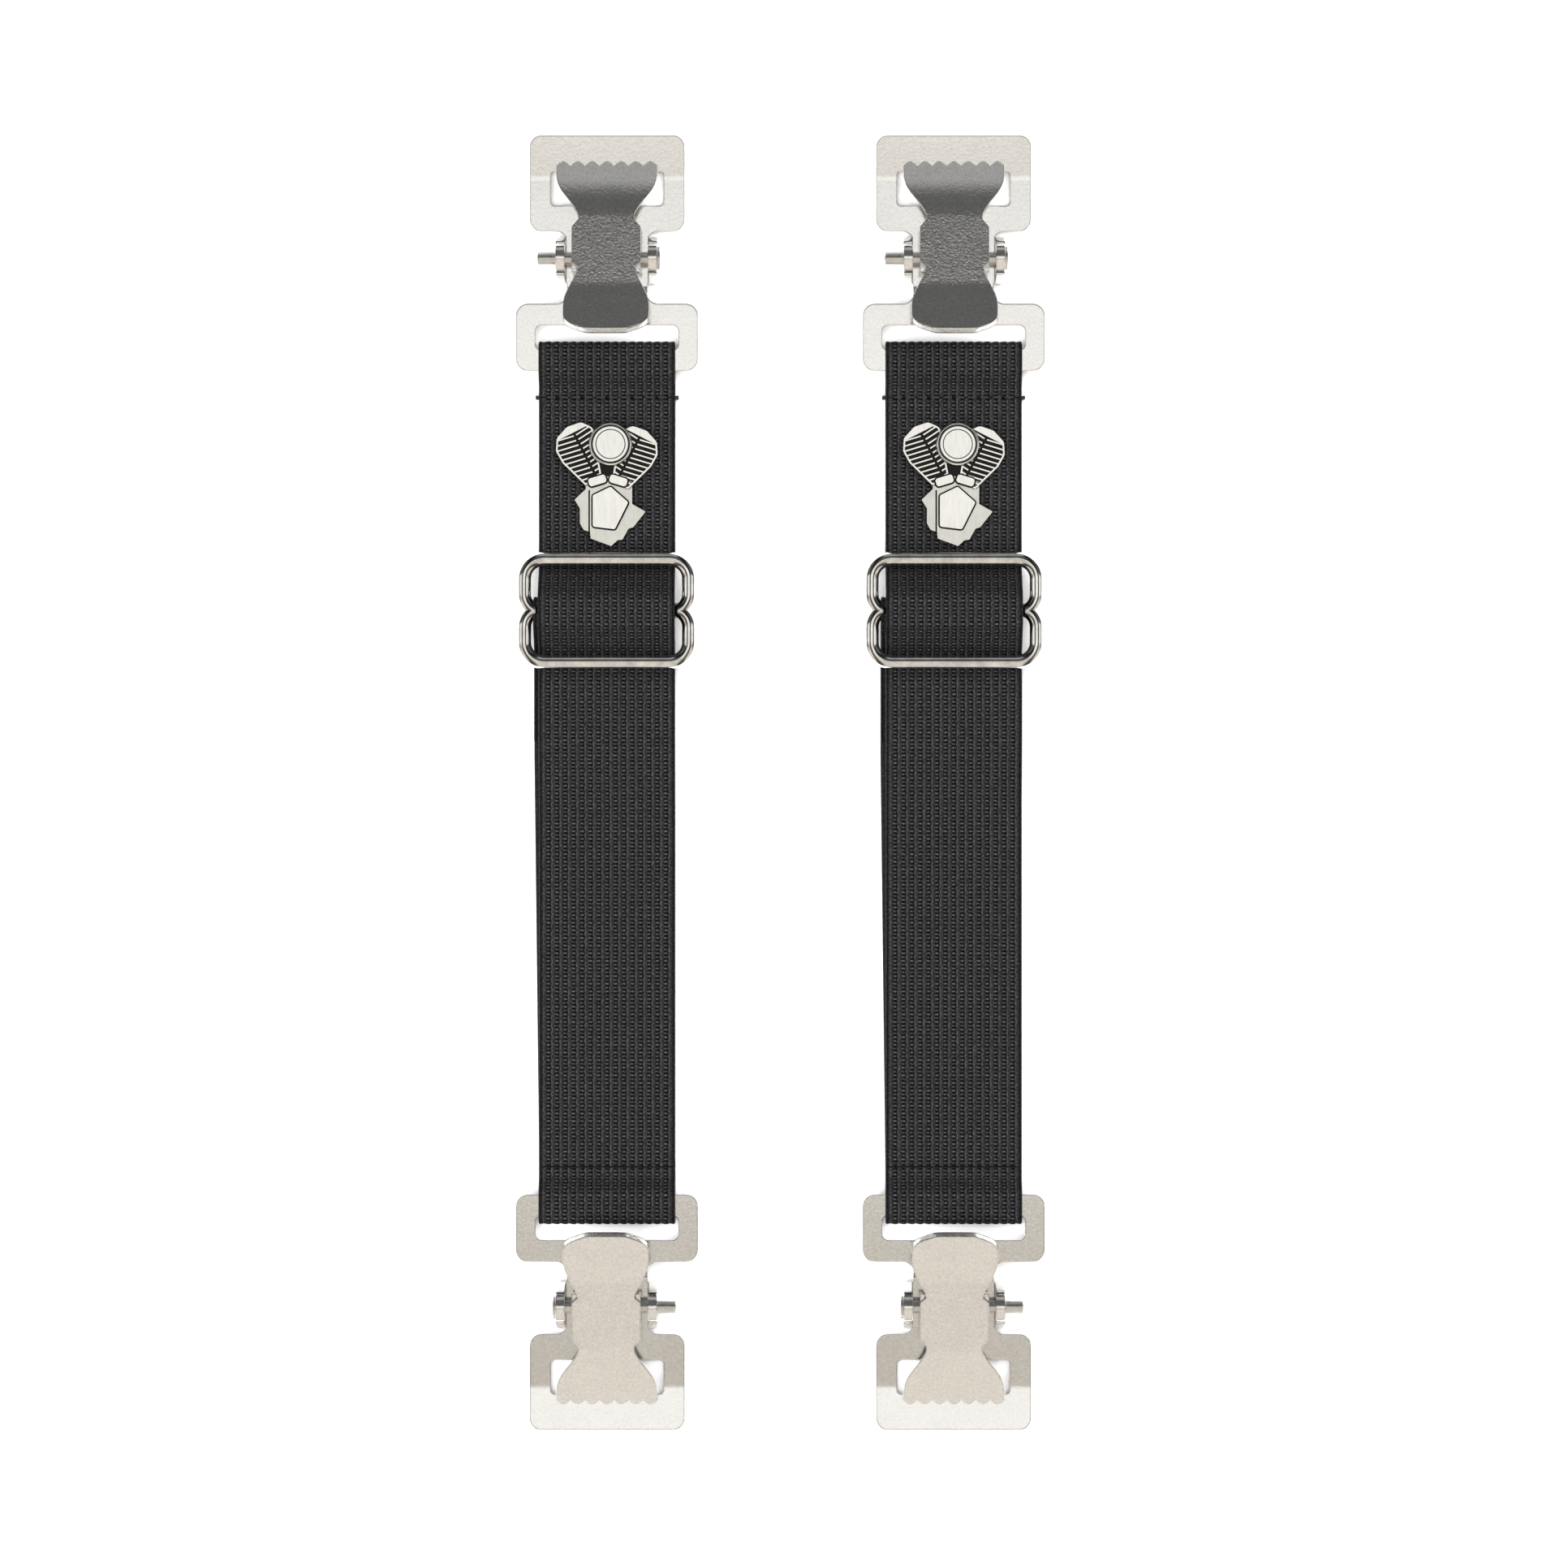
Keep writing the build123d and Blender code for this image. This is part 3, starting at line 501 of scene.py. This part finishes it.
def weave_group():
    """Geometry nodes that sweep the ribbed section along a line, its picks spaced by length."""
    group = bpy.data.node_groups.new("weave", "GeometryNodeTree")
    for name, kind in (
        ("Geometry", "Geometry"),
        ("Section", "Object"),
        ("Phase", "Float"),
        ("From End", "Float"),
        ("Material", "Material"),
    ):
        group.interface.new_socket(name, in_out="INPUT", socket_type=f"NodeSocket{kind}")
    group.interface.new_socket("Geometry", in_out="OUTPUT", socket_type="NodeSocketGeometry")
    tree = Tree(group)
    given = tree.node("NodeGroupInput").outputs

    curve = tree.node("GeometryNodeMeshToCurve")
    tree.feed(curve.inputs["Mesh"], given["Geometry"])
    resampled = tree.node("GeometryNodeResampleCurve", mode="LENGTH")
    tree.feed(resampled.inputs["Curve"], curve.outputs[0])
    resampled.inputs["Length"].default_value = PICK_PITCH / RINGS_PER_PICK
    normals = tree.node("GeometryNodeSetCurveNormal", mode="FREE")
    tree.feed(normals.inputs["Curve"], resampled.outputs[0])
    normals.inputs["Normal"].default_value = (1, 0, 0)

    parameter = tree.node("GeometryNodeSplineParameter")
    length = tree.node("GeometryNodeSplineLength")
    forward = tree.maths("MULTIPLY_ADD", given["From End"], -2.0, 1.0)
    along = tree.maths("MULTIPLY", parameter.outputs["Length"], forward)
    whole = tree.maths("MULTIPLY", length.outputs["Length"], given["From End"])
    along = tree.maths("ADD", tree.maths("ADD", along, whole), given["Phase"])
    stored = tree.node("GeometryNodeStoreNamedAttribute", data_type="FLOAT", domain="POINT")
    tree.feed(stored.inputs["Geometry"], normals.outputs[0])
    stored.inputs["Name"].default_value = "along"
    tree.feed(stored.inputs["Value"], along)

    section = tree.node("GeometryNodeObjectInfo")
    tree.feed(section.inputs["Object"], given["Section"])
    profile = tree.node("GeometryNodeMeshToCurve")
    tree.feed(profile.inputs["Mesh"], section.outputs["Geometry"])
    swept = tree.node("GeometryNodeCurveToMesh")
    tree.feed(swept.inputs["Curve"], stored.outputs[0])
    tree.feed(swept.inputs["Profile Curve"], profile.outputs[0])
    swept.inputs["Fill Caps"].default_value = True

    def named(label):
        made = tree.node("GeometryNodeInputNamedAttribute", data_type="FLOAT")
        made.inputs["Name"].default_value = label
        return made.outputs["Attribute"]

    turns = tree.maths("MULTIPLY", named("along"), 2 * math.pi / PICK_PITCH)
    wave = tree.maths("COSINE", turns)
    half_wave = tree.maths("COSINE", tree.maths("MULTIPLY", turns, 0.5))
    pick = tree.maths("POWER", tree.maths("MULTIPLY_ADD", wave, 0.5, 0.5, clamp=True), 1.2)
    slow = tree.maths("MULTIPLY_ADD", half_wave, 0.12, 0.88)
    rungs = tree.maths("MULTIPLY", tree.maths("MULTIPLY", named("rung"), pick), slow)
    warps = tree.maths("MULTIPLY", named("warp"), tree.maths("MULTIPLY_ADD", wave, 0.2, 0.8))
    bands = tree.maths("MULTIPLY", named("band"), tree.maths("MULTIPLY_ADD", wave, -0.1, 0.9))
    lines = tree.maths("MULTIPLY", warps, WARP_RELIEF / RUNG_RELIEF)
    flats = tree.maths("MULTIPLY", bands, BAND_RELIEF / RUNG_RELIEF)
    relief = tree.maths("MAXIMUM", rungs, tree.maths("ADD", lines, flats))

    outward = tree.node("GeometryNodeInputNormal")
    lifted = tree.node("ShaderNodeVectorMath", operation="SCALE")
    tree.feed(lifted.inputs[0], outward.outputs[0])
    tree.feed(lifted.inputs["Scale"], tree.maths("MULTIPLY", relief, RUNG_RELIEF))
    sway = tree.node("ShaderNodeCombineXYZ")
    swaying = tree.maths("MULTIPLY_ADD", named("rung"), 0.5, named("warp"))
    tree.feed(sway.inputs["X"], tree.maths("MULTIPLY", tree.maths("MULTIPLY", swaying, half_wave), SWAY))
    offset = tree.node("ShaderNodeVectorMath", operation="ADD")
    tree.feed(offset.inputs[0], lifted.outputs[0])
    tree.feed(offset.inputs[1], sway.outputs[0])

    # the relief stored here sets the webbing's colour: painted shade in the pits between the ribs and a
    # painted highlight on the rung crowns
    labelled = tree.node("GeometryNodeStoreNamedAttribute", data_type="FLOAT", domain="POINT")
    tree.feed(labelled.inputs["Geometry"], swept.outputs[0])
    labelled.inputs["Name"].default_value = "relief"
    plain_back = tree.maths("MULTIPLY", named("back"), 0.4)
    tree.feed(labelled.inputs["Value"], tree.maths("MAXIMUM", relief, plain_back))
    moved = tree.node("GeometryNodeSetPosition")
    tree.feed(moved.inputs["Geometry"], labelled.outputs[0])
    tree.feed(moved.inputs["Offset"], offset.outputs[0])
    smooth = tree.node("GeometryNodeSetShadeSmooth")
    tree.feed(smooth.inputs["Geometry"], moved.outputs[0])
    painted = tree.node("GeometryNodeSetMaterial")
    tree.feed(painted.inputs["Geometry"], smooth.outputs[0])
    tree.feed(painted.inputs["Material"], given["Material"])
    result = tree.node("NodeGroupOutput")
    tree.feed(result.inputs[0], painted.outputs[0])
    return group


def webbing_sections(side):
    """One strap's webbing from end to end, each section as its corners' (y, z, radius)."""
    _, upper_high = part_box(f"{side}_webbing_upper_run")
    loop_low, loop_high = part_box(f"{side}_webbing_slide_loop")
    frame_low, frame_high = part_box(f"{side}_adjuster_frame")
    bar_low, bar_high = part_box(f"{side}_adjuster_centre_bar")
    low = WEB_THICK / 2
    middle = low + LAYER
    high = middle + LAYER
    over_bar = upper_high.z - WEB_THICK / 2
    rise = (over_bar - low) / 2 - ARC_SLACK
    fold = upper_high.y - WEB_THICK / 2
    bend = fold - LEAVES_BAR
    drop = fold - MEETS_LAYER
    stitch = fold - STITCHES
    hump = loop_high.z - WEB_THICK / 2
    slide = (frame_low.y + frame_high.y) / 2
    wrap_low = bar_low.z - BAR_CLEARANCE - WEB_THICK / 2
    wrap_high = bar_high.z + BAR_CLEARANCE + WEB_THICK / 2
    wrap = bar_high.y + BAR_CLEARANCE + WEB_THICK / 2
    turn = (wrap_high - wrap_low) / 2 - ARC_SLACK
    tail = loop_low.y + LOOP_TAIL
    ridden = high + STITCH_LIFT
    under_bar = (slide + UNDER_BAR, high, 0)
    front_seam = (SEAM - fold, middle, 0)
    back_seam = (SEAM - fold, low, 0)
    loop_seam = (loop_low.y, low, 0)
    return {
        "top_fold": [
            (fold - TOP_TAIL, low, 0),
            (fold, low, rise),
            (fold, over_bar, rise),
            (bend, over_bar, BEND),
            (drop, middle, BEND),
            (stitch, middle, 0),
        ],
        "upper": [
            (stitch, middle, 0),
            (slide + HUMP_FOOT[0], middle, SHARP_BEND),
            (slide + HUMP_TOP[0], hump, BEND),
            (slide + HUMP_TOP[1], hump, BEND),
            (slide + HUMP_FOOT[1], high, SHARP_BEND),
            under_bar,
        ],
        "lower_front": [
            under_bar,
            (slide + OVER_STITCHES[0], high, SHARP_BEND),
            (slide + OVER_STITCHES[1], ridden, SHARP_BEND),
            (tail + OVER_TAIL[0], ridden, BEND),
            (tail + OVER_TAIL[1], middle, EASY_BEND),
            front_seam,
        ],
        "bottom_fold": [
            front_seam,
            (-drop, middle, BEND),
            (-bend, over_bar, BEND),
            (-fold, over_bar, rise),
            (-fold, low, rise),
            back_seam,
        ],
        "lower_back": [back_seam, loop_seam],
        "slide_loop": [
            loop_seam,
            (slide + LOOP_RISE[0], low, SHARP_BEND),
            (slide + LOOP_RISE[1], wrap_low, SHARP_BEND),
            (wrap, wrap_low, turn),
            (wrap, wrap_high, turn),
            (slide + LOOP_FALL[0], wrap_high, SHARP_BEND),
            (slide + LOOP_FALL[1], middle, SHARP_BEND),
            (tail, middle, 0),
        ],
    }


def sideways(section, y, seam_y, loop_y):
    """How far the webbing lies to the side of the strap's middle at y."""
    if section == "slide_loop":
        return LOOP_OFFSET
    if section == "lower_back":
        return LOOP_OFFSET * max(0.0, min(1.0, (y - seam_y) / (loop_y - seam_y)))
    return 0.0


def route_length(points):
    """The length of a line of points."""
    return float(np.linalg.norm(np.diff(points, axis=0), axis=1).sum())


def add_webbing(side, x, group, sections, material):
    """Every section of one strap's webbing, swept, the slide loop carried by the adjuster and the rest
    fixed in place, standing for its CAD runs.
    """
    root = "root" if side == "left" else "right_strap"
    routes = {name: subdivided(rounded_route(corners), PATH_STEP)
              for name, corners in webbing_sections(side).items()}
    seam_y = float(routes["lower_back"][0][0])
    loop_y = float(routes["lower_back"][-1][0])
    _, slide_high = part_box(f"{side}_adjuster_frame")
    top_pivot = joint_place(f"{side}_top_clip_swing")[1]
    bottom_pivot = joint_place(f"{side}_bottom_clip_swing")[1]
    back_phase = route_length(routes["bottom_fold"])
    loop_phase = back_phase + route_length(routes["lower_back"])
    # section: phase, measured from its end, the kind of section swept, the CAD run it stands for
    plan = {
        "top_fold": (0.0, 1.0, "outer", "webbing_upper_run"),
        "upper": (0.0, 0.0, "both", "webbing_upper_run"),
        "lower_front": (0.0, 1.0, "outer", "webbing_bottom_run"),
        "bottom_fold": (0.0, 0.0, "outer", "webbing_bottom_run"),
        "lower_back": (back_phase, 0.0, "outer", "webbing_bottom_run"),
        "slide_loop": (loop_phase, 0.0, "outer", "webbing_slide_loop"),
    }
    adjuster = f"{side}_adjuster"
    loop = f"{side}_bottom_loop"
    below_adjuster = (adjuster, loop, loop_y - STRETCH_MARGIN, seam_y + STRETCH_MARGIN)
    before, past = SWING_REACH
    # section: the two bodies, and where along Y it starts and stops passing from one to the other
    bends = {
        "top_fold": (root, f"{side}_top_clip", top_pivot - before, top_pivot + past),
        "upper": (root, adjuster, slide_high.y + FEED_REACH[0], slide_high.y + FEED_REACH[1]),
        "lower_front": below_adjuster,
        "bottom_fold": (loop, f"{side}_bottom_clip", bottom_pivot + before, bottom_pivot - past),
        "lower_back": below_adjuster,
    }
    for name, points in routes.items():
        phase, from_end, kind, node = plan[name]
        places = [(x + sideways(name, y, seam_y, loop_y), y, z) for y, z in points]
        piece = line_object(f"{side}_webbing_{name}", places)
        attach(piece, group, {
            "Section": sections[kind],
            "Phase": phase,
            "From End": from_end,
            "Material": material,
        })
        piece.data.materials.append(material)
        if name in bends:
            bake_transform(piece)
        else:
            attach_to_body(piece, f"{side}_adjuster")
        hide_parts(f"{side}_{node}")


# ---------------------------------------------------------------- springs
def wire_group():
    """Geometry nodes that turn a line into a round wire."""
    group = bpy.data.node_groups.new("round_wire", "GeometryNodeTree")
    group.interface.new_socket("Geometry", in_out="INPUT", socket_type="NodeSocketGeometry")
    group.interface.new_socket("Material", in_out="INPUT", socket_type="NodeSocketMaterial")
    group.interface.new_socket("Geometry", in_out="OUTPUT", socket_type="NodeSocketGeometry")
    tree = Tree(group)
    given = tree.node("NodeGroupInput").outputs
    curve = tree.node("GeometryNodeMeshToCurve")
    tree.feed(curve.inputs["Mesh"], given["Geometry"])
    circle = tree.node("GeometryNodeCurvePrimitiveCircle")
    circle.inputs["Resolution"].default_value = 10
    circle.inputs["Radius"].default_value = SPRING_WIRE
    swept = tree.node("GeometryNodeCurveToMesh")
    tree.feed(swept.inputs["Curve"], curve.outputs[0])
    tree.feed(swept.inputs["Profile Curve"], circle.outputs[0])
    swept.inputs["Fill Caps"].default_value = True
    painted = tree.node("GeometryNodeSetMaterial")
    tree.feed(painted.inputs["Geometry"], swept.outputs[0])
    tree.feed(painted.inputs["Material"], given["Material"])
    tree.feed(tree.node("NodeGroupOutput").inputs[0], painted.outputs[0])
    return group


def add_spring(side, end, group, material):
    """A torsion spring whose coil twists between the clip's plate and its lever."""
    pin = Vector(joint_place(f"{side}_{end}_lever_open"))
    way = 1 if end == "top" else -1
    half = SPRING_LENGTH / 2
    line = [(-half, *LOWER_LEG)]
    for index in range(SPRING_POINTS + 1):
        share = index / SPRING_POINTS
        angle = 2 * math.pi * SPRING_TURNS * share
        across = SPRING_LENGTH * share - half
        line.append((across, SPRING_RADIUS * math.sin(angle), -SPRING_RADIUS * math.cos(angle)))
    line.append((half, *UPPER_LEG))
    places = [(pin.x + way * x, pin.y + way * y, pin.z + z) for x, y, z in line]
    piece = line_object(f"{side}_{end}_spring", places)
    attach(piece, group, {"Material": material})
    piece.data.materials.append(material)
    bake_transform(piece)
    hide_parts(f"{side}_{end}_torsion_spring")


# ---------------------------------------------------------------- CAD pieces
def dress(node, material):
    """Give a CAD node its material, in place of the one it was loaded with."""
    obj = bpy.data.objects[node]
    obj.data.materials.clear()
    obj.data.materials.append(material)


# ---------------------------------------------------------------- scene
def add_camera():
    """Straight above the middle of the pair, a little to the right of it."""
    centre = (cad_low + cad_high) / 2
    data = bpy.data.cameras.new("camera")
    data.sensor_width = SENSOR
    data.lens = SENSOR * VIEW_DISTANCE / VIEW_WIDTH
    camera = bpy.data.objects.new("camera", data)
    camera.location = (centre.x + VIEW_SHIFT[0], centre.y + VIEW_SHIFT[1], VIEW_DISTANCE + VIEW_HEIGHT)
    bpy.context.scene.collection.objects.link(camera)
    bpy.context.scene.camera = camera


def add_floor():
    """A plain pale floor under the straps."""
    bm = bmesh.new()
    bmesh.ops.create_grid(bm, x_segments=1, y_segments=1, size=2.0)
    mesh = bpy.data.meshes.new("floor")
    bm.to_mesh(mesh)
    bm.free()
    floor = bpy.data.objects.new("floor", mesh)
    floor.location.z = -FLOOR_DROP
    floor.data.materials.append(floor_material())
    bpy.context.scene.collection.objects.link(floor)


def add_world():
    """A studio surround: pale overhead, warm and bright towards -Y, dark flags towards +Y and the sides."""
    world = bpy.data.worlds.new("studio")
    bpy.context.scene.world = world
    world.use_nodes = True
    tree = Tree(world.node_tree)
    background = world.node_tree.nodes["Background"]
    place = tree.node("ShaderNodeTexCoord")
    split = tree.node("ShaderNodeSeparateXYZ")
    tree.feed(split.inputs[0], place.outputs["Generated"])
    leaning = tree.maths("MULTIPLY_ADD", split.outputs["Y"], 0.5, 0.5)
    # degrees from straight up towards +Y, and the brightness there
    surround = [
        (-90, (0.35, 0.34, 0.32)),
        (-76, (0.84, 0.775, 0.7)),
        (-14, (0.84, 0.775, 0.7)),
        (-8.5, (0.57, 0.53, 0.47)),
        (-4.1, (0.55, 0.51, 0.45)),
        (-2.7, (0.9, 0.87, 0.82)),
        (1, (1.15, 1.15, 1.1)),
        (8, (1.0, 0.99, 0.98)),
        (11, (0.12, 0.12, 0.12)),
        (48, (0.12, 0.12, 0.12)),
        (57, (0.43, 0.43, 0.43)),
        (69, (0.43, 0.43, 0.43)),
        (75, (0.08, 0.08, 0.08)),
        (84, (0.08, 0.08, 0.08)),
    ]
    lengthwise = ramp(tree, leaning, [(0.5 + 0.5 * math.sin(math.radians(a)), c) for a, c in surround])
    crosswise = ramp(tree, tree.maths("ABSOLUTE", split.outputs["X"]), [
        (0.22, (1, 1, 1)),
        (0.34, (0.12, 0.12, 0.12)),
        (0.56, (0.12, 0.12, 0.12)),
        (0.66, (1, 1, 1)),
        (0.9, (1, 1, 1)),
        (0.97, (0.25, 0.25, 0.25)),
    ])
    both = tree.node("ShaderNodeVectorMath", operation="MULTIPLY")
    tree.feed(both.inputs[0], lengthwise)
    tree.feed(both.inputs[1], crosswise)
    tree.feed(background.inputs["Color"], both.outputs[0])
    background.inputs["Strength"].default_value = 1.0


def add_light(name, place, watts):
    """A soft square light aimed at the middle of the pair."""
    data = bpy.data.lights.new(name, "AREA")
    data.energy = watts
    data.size = LIGHT_SIZE
    light = bpy.data.objects.new(name, data)
    light.location = place
    light.visible_glossy = False
    light.rotation_euler = (-Vector(place)).to_track_quat("-Z", "Y").to_euler()
    bpy.context.scene.collection.objects.link(light)


def make_materials():
    """Every material, by its slot."""
    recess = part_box("left_badge")[1].z - RECESS_DEPTH
    return {
        "black_webbing": webbing_material(),
        "black_thread": thread_material(),
        "satin_nickel_plate": satin_nickel(
            "satin_nickel_plate", (0.79, 0.78, 0.76), (0.91, 0.9, 0.88), 0.13, 0.00001),
        "satin_nickel_lever": satin_nickel(
            "satin_nickel_lever", (0.77, 0.76, 0.74), (0.93, 0.92, 0.9), 0.13, 0.00005),
        "pin_steel": dull_metal("pin_steel", (0.62, 0.61, 0.59), (0.82, 0.81, 0.78), 0.2),
        "spring_steel": dull_metal("spring_steel", (0.2, 0.2, 0.21), (0.34, 0.34, 0.35), 0.3),
        "polished_nickel": polished_nickel(),
        "clutch_brass": dull_metal("clutch_brass", (0.55, 0.42, 0.2), (0.7, 0.56, 0.3), 0.3),
        "antique_pewter": pewter(recess + TONE_RANGE[0], recess + TONE_RANGE[1]),
    }


def main():
    add_camera()
    add_floor()
    add_world()
    add_light("key", KEY_PLACE, KEY_WATTS)
    add_light("fill", FILL_PLACE, FILL_WATTS)
    bpy.context.scene.view_settings.view_transform = "Standard"

    weave = weave_group()
    coil = wire_group()
    sections = {
        "outer": section_object("section_outer", False),
        "both": section_object("section_both", True),
    }
    materials = make_materials()
    for side in SIDES:
        slide_low, slide_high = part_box(f"{side}_adjuster_frame")
        add_webbing(side, (slide_low.x + slide_high.x) / 2, weave, sections, materials["black_webbing"])
        for piece, slot in STRAP_PIECES.items():
            dress(f"{side}_{piece}", materials[slot])
        for end in ENDS:
            for piece, slot in CLIP_PIECES.items():
                dress(f"{side}_{end}_{piece}", materials[slot])
            add_spring(side, end, coil, materials["spring_steel"])


main()
